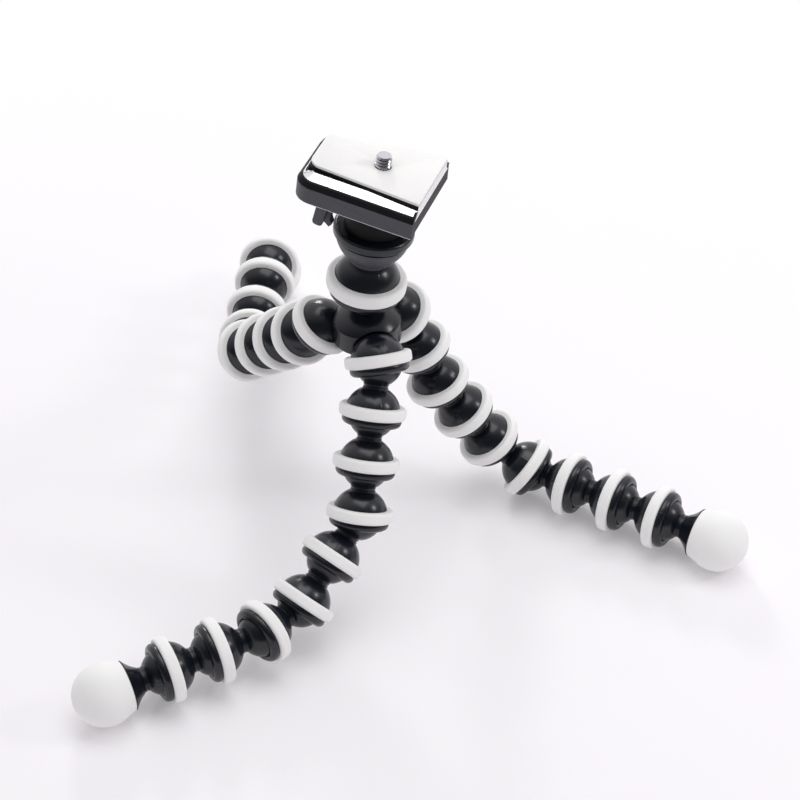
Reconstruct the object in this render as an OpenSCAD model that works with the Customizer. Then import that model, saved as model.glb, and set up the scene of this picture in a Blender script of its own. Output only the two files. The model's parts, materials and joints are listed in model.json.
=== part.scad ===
// Flexible tripod: three legs of ball-and-socket links under a small quick-release camera head.
// Sizes are millimetres, +Z is up, and the feet stand on Z = 0.
// The origin is on the floor, in the middle of the rectangle that the three feet span.

/* [Leg links] */
// Distance from a link's ball to its own socket
link_pitch = 20.8; // [20.6:0.1:23]
// Outside diameter of the bell round a leg's socket
link_bell_d = 22.4; // [22:0.1:22.6]
// Diameter of a link's neck at its waist
neck_d = 9.4; // [8.6:0.1:9.4]
// Gap all round between a ball and its socket
ball_clear = 0.15; // [0.1:0.05:0.25]
// Largest angle between a link and the one before it
bend_limit = 35; // [30:1:36]

/* [Grip rings] */
// How far a ring stands out of its bell
ring_stand = 2.35; // [1.8:0.05:2.4]
// Width of a ring, as a share of the bell's radius
ring_share = 0.46; // [0.4:0.01:0.48]

/* [Feet] */
// Diameter of a foot's rubber cap
foot_d = 25.5; // [25:0.5:28]
// Distance from a foot's ball to the middle of its cap's round end
foot_reach = 25.5; // [25:0.5:28]

/* [Hub] */
// Distance from the hub's upright axis to the middle of each bell's socket
bell_spread = 19.2; // [19:0.1:22]
// Angle below level of the three bells
bell_dip = 55; // [48:1:58]
// Height of the hub's top ball above the middle of the bells
top_ball_rise = 25.2; // [25:0.1:30]
// Diameter of the hub's body
hub_d = 28; // [26:0.5:30]

/* [Stem and collar] */
// Outside diameter of the bell under the head
stem_bell_d = 27.4; // [26.4:0.2:28]
// Lean of the stem to the right
stem_lean = 7; // [-10:1:15]
// Diameter of the locking collar
collar_d = 32; // [30:0.5:34]
// Height of the locking collar above its bowl's middle
collar_h = 9; // [8:0.5:10]
// Depth of the locking collar's bowl
bowl_drop = 5.6; // [4.5:0.1:5.6]

/* [Camera head] */
// Turn of the head about the stem
head_turn = -19; // [-60:1:60]
// Length of the head's base
base_l = 50; // [49.5:0.5:54]
// Width of the head's base beside the camera screw
base_w = 42; // [41:0.5:46]
// Angle at which each side of the base widens towards its open end
base_flare = 4; // [2:0.5:6]
// Height of the head's base
base_h = 11; // [10.5:0.5:13]
// Length of the camera plate
plate_l = 46.5; // [42:0.5:46.5]
// Distance from the camera screw to the plate's open end
plate_ahead = 20.5; // [18:0.5:22]
// Width of the camera plate's pad beside the camera screw
plate_w = 30; // [28:0.5:30]
// Angle at which each side of the plate widens towards its open end
plate_flare = 7; // [5:0.5:7.5]
// Diameter of the camera screw
screw_d = 6.35; // [6.35:0.01:9.53]
// Height of the camera screw above the pad
screw_rise = 5; // [4:0.5:6]

/* [Pose of the legs] */
// Links of the front leg in its four straight runs, from the hub out
front_links = [3, 2, 1, 2]; // [1:1:5]
// Heading of each run of the front leg, from the right, seen from above
front_heading = [-104, -134, -137, -154]; // [-180:1:180]
// Dip of each run of the front leg
front_dip = [59, 37, 6, 4]; // [0:1:80]
// Links of the right leg in its four runs
right_links = [2, 2, 1, 3]; // [1:1:5]
// Heading of each run of the right leg
right_heading = [9, 11, -20, -30]; // [-180:1:180]
// Dip of each run of the right leg
right_dip = [67, 57, 32, 0]; // [0:1:80]
// Links of the back leg in its four runs
back_links = [4, 1, 2, 1]; // [1:1:5]
// Heading of each run of the back leg
back_heading = [123, 89, 83, 87]; // [-180:1:180]
// Dip of each run of the back leg
back_dip = [41, 23, 0, 12]; // [0:1:80]

/* [Hidden] */
$fn = 72;
link_count = 8;
leg_names = ["front", "right", "back"];
leg_turn = [-75, 45, 165];
leg_links = [front_links, right_links, back_links];
leg_heading = [front_heading, right_heading, back_heading];
leg_dip = [front_dip, right_dip, back_dip];
link_r = link_bell_d / 2;
stem_r = stem_bell_d / 2;
neck_r = neck_d / 2;
foot_r = foot_d / 2;
hub_r = hub_d / 2;
run_clear = 0.3;
spin_clear = 0.2;
seat_clear = 0.15;
far = 100;

// Finishes
black = [0.05, 0.05, 0.06];
white = [0.92, 0.92, 0.90];
grey = [0.24, 0.24, 0.27];
pale = [0.88, 0.88, 0.86];
steel = [0.75, 0.75, 0.77];

// A bell of outer radius r, about the middle of its socket: the ball it takes, its mouth, its dome,
// its lip and its ring. The dome and the ring sit a little behind the middle of the socket.
function ball_r(r) = 0.85 * r;
function socket_r(r) = ball_r(r) + ball_clear;
function mouth_r(r) = 0.8 * r;
function mouth_y(r) = sqrt(pow(socket_r(r), 2) - pow(mouth_r(r), 2));
function dome_y(r) = -0.0625 * r;
function lip_y(r) = 0.17 * r;
function lip_ring_r(r) = 0.87 * r;
function lip_round(r) = 0.2 * r;
function groove_r(r) = 0.94 * r;
function ring_y(r) = -0.143 * r;
function ring_w(r) = ring_share * r;
function ring_r(r) = r + ring_stand;
function ring_round(r) = 0.42 * (ring_r(r) - groove_r(r));

// The waist between a ball and the bell behind it
flare_r = 0.5 * link_r;
ball_end = sqrt(pow(ball_r(link_r), 2) - pow(flare_r, 2));
dome_at = link_pitch + dome_y(link_r);
bell_end = dome_at - sqrt(pow(link_r, 2) - pow(flare_r, 2));
waist_y = (ball_end + bell_end) / 2;
waist_half = (bell_end - ball_end) / 2;
waist_in = flare_r - neck_r;
waist_round = 1.08 * (pow(waist_in, 2) + pow(waist_half, 2)) / (2 * waist_in);
bead_r = 0.4;
bead_pitch = 1.25;

// The foot: its dome and its cap are balls that meet where they are equally wide, round a stub
foot_gap = foot_reach - dome_at;
cuff_y = dome_at + (pow(foot_gap, 2) + pow(link_r, 2) - pow(foot_r, 2)) / (2 * foot_gap);
stub_r = 0.55 * foot_r;

// The pose: every run is straight, and each foot's own dip brings it down to the floor
function run_of(leg, n, i = 0) =
    i == 3 || n <= leg_links[leg][i] ? i : run_of(leg, n - leg_links[leg][i], i + 1);
function heading(leg, n) = n == 0 ? leg_turn[leg] : leg_heading[leg][run_of(leg, n)];
function link_dip(leg, n) = n == 0 ? bell_dip : leg_dip[leg][run_of(leg, n)];
function fall(leg, n) = n == 0 ? 0 : fall(leg, n - 1) + link_pitch * sin(link_dip(leg, n));
bell_z = foot_r + fall(0, link_count) + foot_reach * sin(front_dip[3]);
function foot_dip(leg) = asin((bell_z - fall(leg, link_count) - foot_r) / foot_reach);
function dip(leg, n) = n > link_count ? foot_dip(leg) : link_dip(leg, n);
function ray(leg, n) =
    [cos(dip(leg, n)) * cos(heading(leg, n)), cos(dip(leg, n)) * sin(heading(leg, n)), -sin(dip(leg, n))];
function from_hub(leg, n) =
    n == 0
        ? [bell_spread * cos(leg_turn[leg]), bell_spread * sin(leg_turn[leg]), bell_z]
        : from_hub(leg, n - 1) + (n > link_count ? foot_reach : link_pitch) * ray(leg, n);
front_end = from_hub(0, link_count + 1);
right_end = from_hub(1, link_count + 1);
back_end = from_hub(2, link_count + 1);
hub_at = -[(front_end.x + right_end.x) / 2, (front_end.y + back_end.y) / 2, 0];
function joint_at(leg, n) = hub_at + from_hub(leg, n);
top_ball_at = hub_at + [0, 0, bell_z + top_ball_rise];

// Heights along the stem, from the middle of its socket
collar_y = stem_r + 6.4;
collar_top = collar_y + collar_h;
stem_neck_r = 8;
spindle_r = 6;
boss_r = 12;
boss_h = 14;
boss_y = collar_top + run_clear;
base_y = boss_y + boss_h;
base_top = base_y + base_h;
tray_y = base_top - 4.5;
retainer_r = 7.5;
retainer_y = base_y + 2.5;
retainer_h = 2;
chamber_r = retainer_r + run_clear;

// The head's base: walls, a steep band and a shallow rim round the tray
base_x1 = plate_ahead;
base_x0 = base_x1 - base_l;
base_corner_r = 8;
band_y = base_top - 4;
band_in = 1.2;
rim_y = base_top - 2;
rim_in = base_w / 2 - plate_w / 2 - run_clear;

// The camera plate: a wedge-shaped dovetail in the tray, a straight body and a pad
plate_x0 = plate_ahead - plate_l;
foot_w = plate_w + 5;
dovetail_y = tray_y + run_clear;
dovetail_h = 2.5;
plate_top = base_top + 1.3;
pad_t = 1.2;
pad_top = plate_top + pad_t;
plate_corner_r = 5;
screw_r = screw_d / 2;
screw_head_r = screw_r + 2.8;
screw_head_h = 1.7;
screw_head_y = dovetail_y + 0.4;

// The release lever: a barrel on two trunnions, a thumb tab and a hook
lever_len = 7.8;
lever_pivot_y = base_y + 3;
lever_r = 2.2;
lever_swing = 2.3;
lever_x = -boss_r - lever_r - lever_swing;
lever_in = 1.9;
lever_y0 = lever_in - base_w / 2 - lever_x * tan(base_flare);
trunnion_r = 1.2;
trunnion_len = 1.3;
tab_drop = 12.5;
hook_drop = 14.5;

// Keeps the half of an outline that a revolve needs
module right_half() {
    intersection() {
        children();
        translate([0, -far]) square([far, 2 * far]);
    }
}

// Outline of a bell about the middle of its socket, open towards +Y, with its ring's groove
module bell_outline(r) {
    difference() {
        union() {
            difference() {
                translate([0, dome_y(r)]) circle(r);
                translate([-r, lip_y(r)]) square([2 * r, r]);
            }
            translate([lip_ring_r(r), lip_y(r)]) circle(lip_round(r));
        }
        translate([groove_r(r), ring_y(r) - ring_w(r) / 2]) square([r, ring_w(r)]);
    }
}

// Hollow of a bell: the socket, and a mouth that flares by the bend limit
module socket_outline(r) {
    flare = r * tan(bend_limit);
    circle(socket_r(r));
    polygon([
        [0, 0],
        [mouth_r(r), 0],
        [mouth_r(r), mouth_y(r)],
        [mouth_r(r) + flare, mouth_y(r) + r],
        [0, mouth_y(r) + r]
    ]);
}

// Rounded band of a grip ring, about the middle of its bell's socket
module ring_outline(r) {
    half = ring_w(r) / 2 - seat_clear;
    round_r = ring_round(r);
    inner_r = groove_r(r) + seat_clear;
    depth = ring_r(r) - inner_r;
    translate([0, ring_y(r)]) {
        translate([inner_r, -half]) square([depth - round_r, 2 * half]);
        translate([inner_r, round_r - half]) square([depth, 2 * (half - round_r)]);
        for (side = [-1, 1])
            translate([ring_r(r) - round_r, side * (half - round_r)]) circle(round_r);
    }
}

// Ball and waisted neck that every link and foot starts with, with two beads round the neck
module ball_and_neck_outline() {
    circle(ball_r(link_r));
    difference() {
        translate([0, ball_end - 1]) square([flare_r, 2 * waist_half + 2]);
        translate([neck_r + waist_round, waist_y]) circle(waist_round);
    }
    for (side = [-0.5, 0.5]) translate([neck_r, waist_y + side * bead_pitch]) circle(bead_r);
}

// Puts a shape that points up Z onto link n of a leg, with its ball on the joint
module on_link(leg, n) {
    translate(joint_at(leg, n - 1)) rotate([0, 90 + dip(leg, n), heading(leg, n)]) children();
}

// Puts a shape that points up Z onto one of the hub's bells
module on_bell(leg) {
    translate(joint_at(leg, 0)) rotate([0, 90 + bell_dip, leg_turn[leg]]) children();
}

// Puts a shape that points up Z onto the stem, or onto the head that turns on it
module on_stem() {
    translate(top_ball_at) rotate([0, stem_lean, 0]) children();
}
module on_head() {
    on_stem() rotate([0, 0, head_turn]) children();
}

module leg_link(leg, n) {
    color(black) on_link(leg, n) rotate_extrude() right_half() difference() {
        union() {
            ball_and_neck_outline();
            translate([0, link_pitch]) bell_outline(link_r);
        }
        translate([0, link_pitch]) socket_outline(link_r);
    }
}

module leg_ring(leg, n) {
    color(white) on_link(leg, n) translate([0, 0, link_pitch])
        rotate_extrude() ring_outline(link_r);
}

// A foot is two solids: a black core with the ball and a dome, and a white rubber cap on its stub
module leg_foot(leg) {
    on_link(leg, link_count + 1) {
        color(black) rotate_extrude() right_half() {
            ball_and_neck_outline();
            difference() {
                translate([0, dome_at]) circle(link_r);
                translate([-link_r, cuff_y]) square([2 * link_r, 2 * link_r]);
            }
            translate([0, cuff_y - 1]) square([stub_r, foot_reach - cuff_y + 1]);
        }
        color(white) rotate_extrude() right_half() difference() {
            translate([0, foot_reach]) circle(foot_r);
            translate([-foot_r, 0]) square([2 * foot_r, cuff_y + seat_clear]);
            square([stub_r + seat_clear, foot_reach + seat_clear]);
        }
    }
}

// Barrel with an arched opening round each bell, a core that joins the bells, and the top ball
module hub_body() {
    shoulder_r = 1.28 * hub_r;
    tab_z = bell_z - 0.4;
    groove = 0.6;
    core_r = 0.5 * bell_spread;
    core_z = bell_z - 1.5;
    core_h = 10;
    ball = ball_r(stem_r);
    color(black) difference() {
        union() {
            difference() {
                translate(hub_at) intersection() {
                    translate([0, 0, tab_z]) cylinder(r = hub_r, h = shoulder_r);
                    translate([0, 0, bell_z - 0.2 * hub_r]) sphere(shoulder_r);
                }
                for (leg = [0:2])
                    on_bell(leg) translate([0, 0, dome_y(link_r)]) sphere(link_r + groove);
            }
            translate(hub_at + [0, 0, core_z]) cylinder(r = core_r, h = core_h);
            translate(hub_at + [0, 0, bell_z]) cylinder(r = 0.5 * ball, h = top_ball_rise);
            translate(top_ball_at) sphere(ball);
            for (leg = [0:2]) on_bell(leg) rotate_extrude() right_half() bell_outline(link_r);
        }
        for (leg = [0:2]) on_bell(leg) rotate_extrude() right_half() socket_outline(link_r);
    }
}

module hub_rings() {
    color(white) for (leg = [0:2]) on_bell(leg) rotate_extrude() ring_outline(link_r);
}

// Bell over the hub's top ball, with a neck for the collar and a spindle that the head turns on
module stem_link() {
    color(black) on_stem() rotate_extrude() right_half() difference() {
        union() {
            mirror([0, 1]) bell_outline(stem_r);
            square([stem_neck_r, collar_top]);
            square([spindle_r, retainer_y + retainer_h]);
            translate([0, retainer_y]) square([retainer_r, retainer_h]);
        }
        mirror([0, 1]) socket_outline(stem_r);
    }
}

module stem_ring() {
    color(white) on_stem() rotate_extrude() mirror([0, 1]) ring_outline(stem_r);
}

// Dish that screws down on the stem's neck: a bowl under a rounded rim
module lock_collar() {
    rim_r = collar_d / 2;
    rim_h = 0.5 * collar_h;
    rim_round = 1.4;
    bore_r = stem_neck_r + spin_clear;
    bowl_r = rim_r - 1.2;
    bowl_y = collar_h - rim_h;
    low_r = bore_r + 0.7;
    wider = pow(bowl_r, 2) - pow(low_r, 2);
    bowl_mid = (wider + pow(bowl_y, 2) - pow(bowl_drop, 2)) / (2 * (bowl_y + bowl_drop));
    bowl_ball = sqrt(pow(bowl_r, 2) + pow(bowl_y - bowl_mid, 2));
    color(black) on_stem() translate([0, 0, collar_y]) rotate_extrude() difference() {
        union() {
            intersection() {
                translate([0, bowl_mid]) circle(bowl_ball);
                translate([0, -bowl_drop]) square([rim_r, bowl_drop + collar_h - 1]);
            }
            translate([0, collar_h - rim_h]) square([rim_r - rim_round, rim_h]);
            translate([0, collar_h - rim_h + rim_round])
                square([rim_r, rim_h - 2 * rim_round]);
            for (y = [collar_h - rim_h + rim_round, collar_h - rim_round])
                translate([rim_r - rim_round, y]) circle(rim_round);
        }
        translate([0, -bowl_drop]) square([bore_r, bowl_drop + collar_h]);
        translate([-far, -far]) square([far, 2 * far]);
    }
}

// Plan of a wedge from x0 to x1, of a given width beside the screw: round corners at its narrow end,
// square ones at its wide end. An inset draws its sides and its narrow end in.
module wedge_plan(x0, x1, width, flare, corner_r, inset = 0) {
    round_r = corner_r - inset;
    centre_x = x0 + corner_r;
    centre_y = width / 2 + centre_x * tan(flare) - corner_r / cos(flare);
    end_y = width / 2 + x1 * tan(flare) - inset / cos(flare);
    side_x = centre_x - round_r * sin(flare);
    side_y = centre_y + round_r * cos(flare);
    polygon([
        [x0 + inset, centre_y],
        [side_x, side_y],
        [x1, end_y],
        [x1, -end_y],
        [side_x, -side_y],
        [x0 + inset, -centre_y]
    ]);
    for (side = [-1, 1]) translate([centre_x, side * centre_y]) circle(round_r);
}

module base_plan(inset) {
    wedge_plan(base_x0, base_x1, base_w, base_flare, base_corner_r, inset);
}

// One step of the base's top edge, from one inset plan up to a smaller one
module base_step(y0, inset0, y1, inset1) {
    skin = 0.01;
    hull() {
        translate([0, 0, y0 - skin]) linear_extrude(skin) base_plan(inset0);
        translate([0, 0, y1 - skin]) linear_extrude(skin) base_plan(inset1);
    }
}

// One side of the plate's dovetail and body, grown by a clearance for the tray: a long prism
// that follows that side's flare and reaches far beyond the other side
module plate_side(side, grow, top) {
    foot_y = foot_w / 2 * cos(plate_flare) + grow;
    neck_y = plate_w / 2 * cos(plate_flare) + grow;
    rotate([0, 0, side * plate_flare]) translate([-far, 0, 0]) rotate([90, 0, 90])
        linear_extrude(2 * far) polygon([
            [-side * far, dovetail_y - grow],
            [side * foot_y, dovetail_y - grow],
            [side * neck_y, dovetail_y + dovetail_h],
            [side * neck_y, top],
            [-side * far, top]
        ]);
}

// The wedge between both sides, cut to the plate's plan and lengthened at its open end
module plate_wedge(grow, top, longer) {
    intersection() {
        plate_side(-1, grow, top);
        plate_side(1, grow, top);
        translate([0, 0, dovetail_y - 1]) linear_extrude(far) wedge_plan(
            plate_x0 - grow, plate_ahead + longer,
            foot_w + 2 * grow / cos(plate_flare), plate_flare, plate_corner_r + grow
        );
    }
}

module head_base() {
    slot = lever_r + lever_swing;
    slot_y0 = lever_y0 - run_clear;
    slot_w = lever_len + 2 * run_clear;
    color(grey) on_head() difference() {
        union() {
            translate([0, 0, boss_y]) cylinder(r = boss_r, h = base_y - boss_y + 1);
            translate([0, 0, base_y]) linear_extrude(band_y - base_y) base_plan(0);
            base_step(band_y, 0, rim_y, band_in);
            base_step(rim_y, band_in, base_top, rim_in);
        }
        plate_wedge(run_clear, base_top + 1, 1);
        cylinder(r = spindle_r + spin_clear, h = tray_y + 1);
        translate([0, 0, retainer_y - run_clear]) cylinder(r = chamber_r, h = base_h);
        translate([lever_x - slot, slot_y0, base_y - 1])
            cube([2 * slot, slot_w, lever_pivot_y + lever_r + run_clear - base_y + 1]);
        translate([lever_x, slot_y0 - trunnion_len, lever_pivot_y]) rotate([-90, 0, 0])
            cylinder(r = trunnion_r + spin_clear, h = slot_w + 2 * trunnion_len);
    }
}

module release_lever() {
    half = 2.1;
    tip_y = -hook_drop;
    color(black) on_head() translate([lever_x, lever_y0, lever_pivot_y]) rotate([-90, 0, 0]) {
        cylinder(r = lever_r, h = lever_len);
        translate([0, 0, run_clear - trunnion_len])
            cylinder(r = trunnion_r, h = lever_len + 2 * (trunnion_len - run_clear));
        // Thumb tab
        mirror([0, 1, 0]) linear_extrude(3.2) polygon([
            [-half, 0],
            [half, 0],
            [half - 1.6, -tab_drop],
            [-half - 1.6, -tab_drop + 0.6]
        ]);
        // Hook, behind the tab
        mirror([0, 1, 0]) translate([0, 0, 4.2]) linear_extrude(lever_len - 4.2) polygon([
            [-half + 0.8, 0],
            [half + 0.4, 0],
            [half + 1.6, -4],
            [half + 0.4, -8.5],
            [half, -11],
            [half + 1, tip_y + 1.2],
            [half, tip_y],
            [-0.6, tip_y + 2.2],
            [-0.8, -9]
        ]);
    }
}

// The plate is two solids: a dovetailed body, and a pale pad on top of it
module camera_plate() {
    bore_r = screw_r + spin_clear;
    on_head() {
        color(black) difference() {
            plate_wedge(0, plate_top, 0);
            cylinder(r = bore_r, h = far);
            translate([0, 0, dovetail_y - 1])
                cylinder(r = screw_head_r + run_clear, h = screw_head_h + 1.8);
        }
        color(pale) difference() {
            translate([0, 0, plate_top + seat_clear]) linear_extrude(pad_t - seat_clear)
                wedge_plan(plate_x0, plate_ahead, plate_w, plate_flare, plate_corner_r);
            cylinder(r = bore_r, h = far);
        }
    }
}

// Camera screw: a slotted head, a thinner shank inside the plate, and the full size above the pad
module camera_screw() {
    tip = 0.6;
    slot_w = 1.4;
    slot_h = 0.9;
    shank_r = screw_r - 0.6;
    shank_end = pad_top + run_clear;
    color(steel) on_head() difference() {
        union() {
            translate([0, 0, screw_head_y]) cylinder(r = screw_head_r, h = screw_head_h);
            translate([0, 0, screw_head_y]) cylinder(r = shank_r, h = shank_end - screw_head_y + 1);
            translate([0, 0, shank_end])
                cylinder(r = screw_r, h = pad_top + screw_rise - tip - shank_end);
            translate([0, 0, pad_top + screw_rise - tip])
                cylinder(r1 = screw_r, r2 = screw_r - tip, h = tip);
        }
        translate([-far / 2, -slot_w / 2, screw_head_y - 1]) cube([far, slot_w, slot_h + 1]);
    }
}

for (leg = [0:2]) for (n = [1:link_count]) {
    leg_link(leg, n);
    leg_ring(leg, n);
}
for (leg = [0:2])
    leg_foot(leg);
hub_body();
hub_rings();
stem_link();
stem_ring();
lock_collar();
head_base();
release_lever();
camera_plate();
camera_screw();
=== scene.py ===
"""Looks of the flexible leg tripod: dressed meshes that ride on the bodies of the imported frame.

Lengths in the classes are millimetres; every mesh is brought to metres where it is placed.
"""

import json
import logging
from dataclasses import dataclass, field
from enum import Enum
from math import acos, asin, atan2, cos, degrees, dist, hypot, radians, sin, sqrt, tau
from typing import Callable, Iterable, Mapping, Optional, Sequence, Union

import bmesh
import bpy
import numpy as np
from bmesh.types import BMEdge, BMesh
from bpy.types import ID, Material, Mesh, NodeSocket, NodeTree, Object
from mathutils import Matrix, Vector


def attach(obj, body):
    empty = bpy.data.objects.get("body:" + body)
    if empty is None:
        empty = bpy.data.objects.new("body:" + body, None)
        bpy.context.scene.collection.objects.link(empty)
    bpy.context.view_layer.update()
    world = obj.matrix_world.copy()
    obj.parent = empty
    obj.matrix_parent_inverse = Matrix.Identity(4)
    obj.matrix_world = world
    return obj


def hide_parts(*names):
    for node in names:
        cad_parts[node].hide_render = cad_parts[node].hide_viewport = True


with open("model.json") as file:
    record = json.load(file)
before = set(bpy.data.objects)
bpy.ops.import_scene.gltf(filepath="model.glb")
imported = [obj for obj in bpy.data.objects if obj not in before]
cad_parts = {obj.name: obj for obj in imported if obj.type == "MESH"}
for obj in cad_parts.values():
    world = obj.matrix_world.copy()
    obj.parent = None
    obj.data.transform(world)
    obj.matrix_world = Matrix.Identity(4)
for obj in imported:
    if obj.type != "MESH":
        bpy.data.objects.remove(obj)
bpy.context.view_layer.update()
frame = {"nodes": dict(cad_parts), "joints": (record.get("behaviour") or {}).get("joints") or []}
LOG = logging.getLogger("tripod")
MM = 0.001
LEGS = ("front", "right", "back")
LINKS = 8

Pair = tuple[float, float]
Triple = tuple[float, float, float]
Setting = Union["Value", float, str, Sequence[float]]


def math_method(operation: str, swapped: bool = False) -> Callable[["Value", Setting], "Value"]:
    """Makes an operator of Value that adds one Math node.

    Args:
        operation: The node's operation.
        swapped: Whether the other value comes first.
    Returns:
        The operator.
    """

    def method(value: "Value", other: Setting) -> "Value":
        """Adds the node to the value's tree and returns its result."""
        first, second = (other, value) if swapped else (value, other)
        return value.graph.node("ShaderNodeMath", {0: first, 1: second}, operation=operation)

    return method


class Value:
    """One socket of a node tree; arithmetic on it adds Math nodes, comparisons give 0 or 1."""

    def __init__(self, graph: "Graph", socket: NodeSocket) -> None:
        """Wraps a socket of a graph."""
        self.graph = graph
        self.socket = socket

    __add__ = __radd__ = math_method("ADD")
    __sub__ = math_method("SUBTRACT")
    __rsub__ = math_method("SUBTRACT", swapped=True)
    __mul__ = __rmul__ = math_method("MULTIPLY")
    __truediv__ = math_method("DIVIDE")
    __gt__ = math_method("GREATER_THAN")
    __lt__ = math_method("LESS_THAN")

    def apply(self, operation: str) -> "Value":
        """Result of a Math operation on this value alone."""
        return self.graph.node("ShaderNodeMath", {0: self}, operation=operation)

    def out(self, name: str) -> "Value":
        """Another output of the node that gives this value."""
        return Value(self.graph, self.socket.node.outputs[name])


class Graph:
    """A shader or geometry node tree that is built node by node."""

    def __init__(self, tree: NodeTree) -> None:
        """Starts from an empty tree."""
        self.tree = tree
        tree.nodes.clear()

    def node(
        self,
        kind: str,
        sockets: Optional[Mapping[Union[int, str], Setting]] = None,
        out: Union[int, str] = 0,
        **settings: str,
    ) -> Value:
        """Adds a node that has an output.

        Args:
            kind: The node's type.
            sockets: The values or links of its inputs.
            out: The output to return.
            settings: Its properties, set before its inputs.
        Returns:
            That output.
        """
        made = self.tree.nodes.new(kind)
        for key, value in settings.items():
            setattr(made, key, value)
        for key, value in (sockets or {}).items():
            if isinstance(value, Value):
                self.tree.links.new(value.socket, made.inputs[key])
            else:
                made.inputs[key].default_value = value
        return Value(self, made.outputs[out])

    def end(self, kind: str, **links: Value) -> None:
        """Adds the node that ends the tree.

        Args:
            kind: The node's type.
            links: What its inputs take, by name.
        """
        made = self.tree.nodes.new(kind)
        for key, value in links.items():
            self.tree.links.new(value.socket, made.inputs[key])

    def noise(self, place: Value, scale: float, detail: float = 2.0) -> Value:
        """Noise over a place, in features per metre."""
        return self.node("ShaderNodeTexNoise", {"Vector": place, "Scale": scale, "Detail": detail})

    def smooth(self, value: Value, low: float, high: float) -> Value:
        """Smooth step from nought at the low value to one at the high value."""
        sockets = {0: value, 1: low, 2: high}
        return self.node("ShaderNodeMapRange", sockets, interpolation_type="SMOOTHSTEP")

    def mix(self, factor: Value, first: Union[Value, Triple], second: Triple) -> Value:
        """Colour between two colours."""
        pair = [color if isinstance(color, Value) else (*color, 1.0) for color in (first, second)]
        return self.node("ShaderNodeMix", {0: factor, 6: pair[0], 7: pair[1]}, 2, data_type="RGBA")


class Pattern(Enum):
    """How a finish breaks up its surface; the value is in features per metre."""

    MOULDED = 260.0
    RUBBER = 420.0
    SPARKED = 2600.0
    TURNED = 9000.0
    DIMPLED = 1500.0


@dataclass(frozen=True)
class Finish:
    """A procedural material: two tones, a roughness span and a surface pattern.

    Scales are features per metre; the bump's depth is in metres.
    """

    name: str
    slot: str
    pattern: Pattern
    tone: Triple
    tone_2: Triple
    rough: Pair
    bump: float
    metallic: float = 0.0
    specular: float = 0.5

    DRIFT_SCALE, SPECK_SCALE, ROUND_SCALE = 90.0, 1900.0, 60.0
    DRIFT, GRAIN, SPECK = 0.65, 0.35, 0.25
    SPECK_LEVEL = 0.745
    BUMP_DEPTH = 0.0002
    # Near-black that the thread's valleys darken towards: painted shade in the grooves.
    THREAD_SHADE = (0.03, 0.03, 0.035)

    def material(self) -> Material:
        """Returns the finish as a material, made on first use."""
        made = bpy.data.materials.get(self.name)
        if made:
            return made
        made = bpy.data.materials.new(self.name)
        made.use_nodes = True
        graph = Graph(made.node_tree)
        place = graph.node("ShaderNodeTexCoord", out="Object")
        drift = graph.noise(place, self.DRIFT_SCALE, 3.0)
        grain, height = self._surface(graph, place)
        speck = graph.noise(place, self.SPECK_SCALE, 1.0) > self.SPECK_LEVEL
        blend = drift * self.DRIFT + grain * self.GRAIN + speck * self.SPECK
        color = graph.mix(blend, self.tone, self.tone_2)
        # Painted shade: the thread's valleys darken by their depth, as shade in the grooves.
        if self.pattern is Pattern.TURNED:
            deep = graph.node("ShaderNodeAttribute", out="Fac", attribute_name=Lathe.VALLEY)
            color = graph.mix(deep * deep, color, self.THREAD_SHADE)
        low, high = self.rough
        rough = low + (high - low) * (drift * 0.5 + grain * 0.5)
        depth = {"Strength": self.bump, "Distance": self.BUMP_DEPTH, "Height": height}
        bump = graph.node("ShaderNodeBump", depth)
        looks = {"Base Color": color, "Roughness": rough, "Normal": bump}
        looks |= {"Metallic": self.metallic, "Specular IOR Level": self.specular}
        shader = graph.node("ShaderNodeBsdfPrincipled", looks)
        graph.end("ShaderNodeOutputMaterial", Surface=shader)
        return made

    def _surface(self, graph: Graph, place: Value) -> tuple[Value, Value]:
        """Makes the fine pattern.

        Args:
            graph: The material's graph.
            place: Object coordinates.
        Returns:
            A mask of the pattern, and the height that the bump uses.
        """
        scale = self.pattern.value
        if self.pattern is Pattern.TURNED:
            stretch = (self.ROUND_SCALE, self.ROUND_SCALE, scale)
            lines = graph.node("ShaderNodeMapping", {"Vector": place, "Scale": stretch})
            cut = graph.noise(lines, 1.0)
            return cut, cut
        if self.pattern is Pattern.DIMPLED:
            sockets = {"Vector": place, "Scale": scale}
            cell = graph.node("ShaderNodeTexVoronoi", sockets, feature="SMOOTH_F1")
            return cell, cell
        if self.pattern is Pattern.SPARKED:
            grain = graph.noise(place, scale, 3.0)
            return grain, grain
        rubber = self.pattern is Pattern.RUBBER
        detail, pore_scale, share = (4.0, 3200.0, 0.4) if rubber else (2.0, 3000.0, 0.3)
        cloud = graph.noise(place, scale, detail)
        return cloud, cloud * (1.0 - share) + graph.noise(place, pore_scale) * share


BLACK = Finish("black_nylon", "black_plastic", Pattern.MOULDED, (0.0035, 0.0052, 0.0095),
               (0.0070, 0.0092, 0.0145), (0.20, 0.30), 0.05)
WHITE = Finish("white_rubber", "white_rubber", Pattern.RUBBER, (0.70, 0.70, 0.685),
               (0.80, 0.80, 0.79), (0.46, 0.62), 0.12, specular=0.35)
GREY = Finish("satin_grey", "grey_plastic", Pattern.SPARKED, (0.040, 0.042, 0.052),
              (0.064, 0.067, 0.081), (0.40, 0.52), 0.22, specular=0.45)
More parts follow.
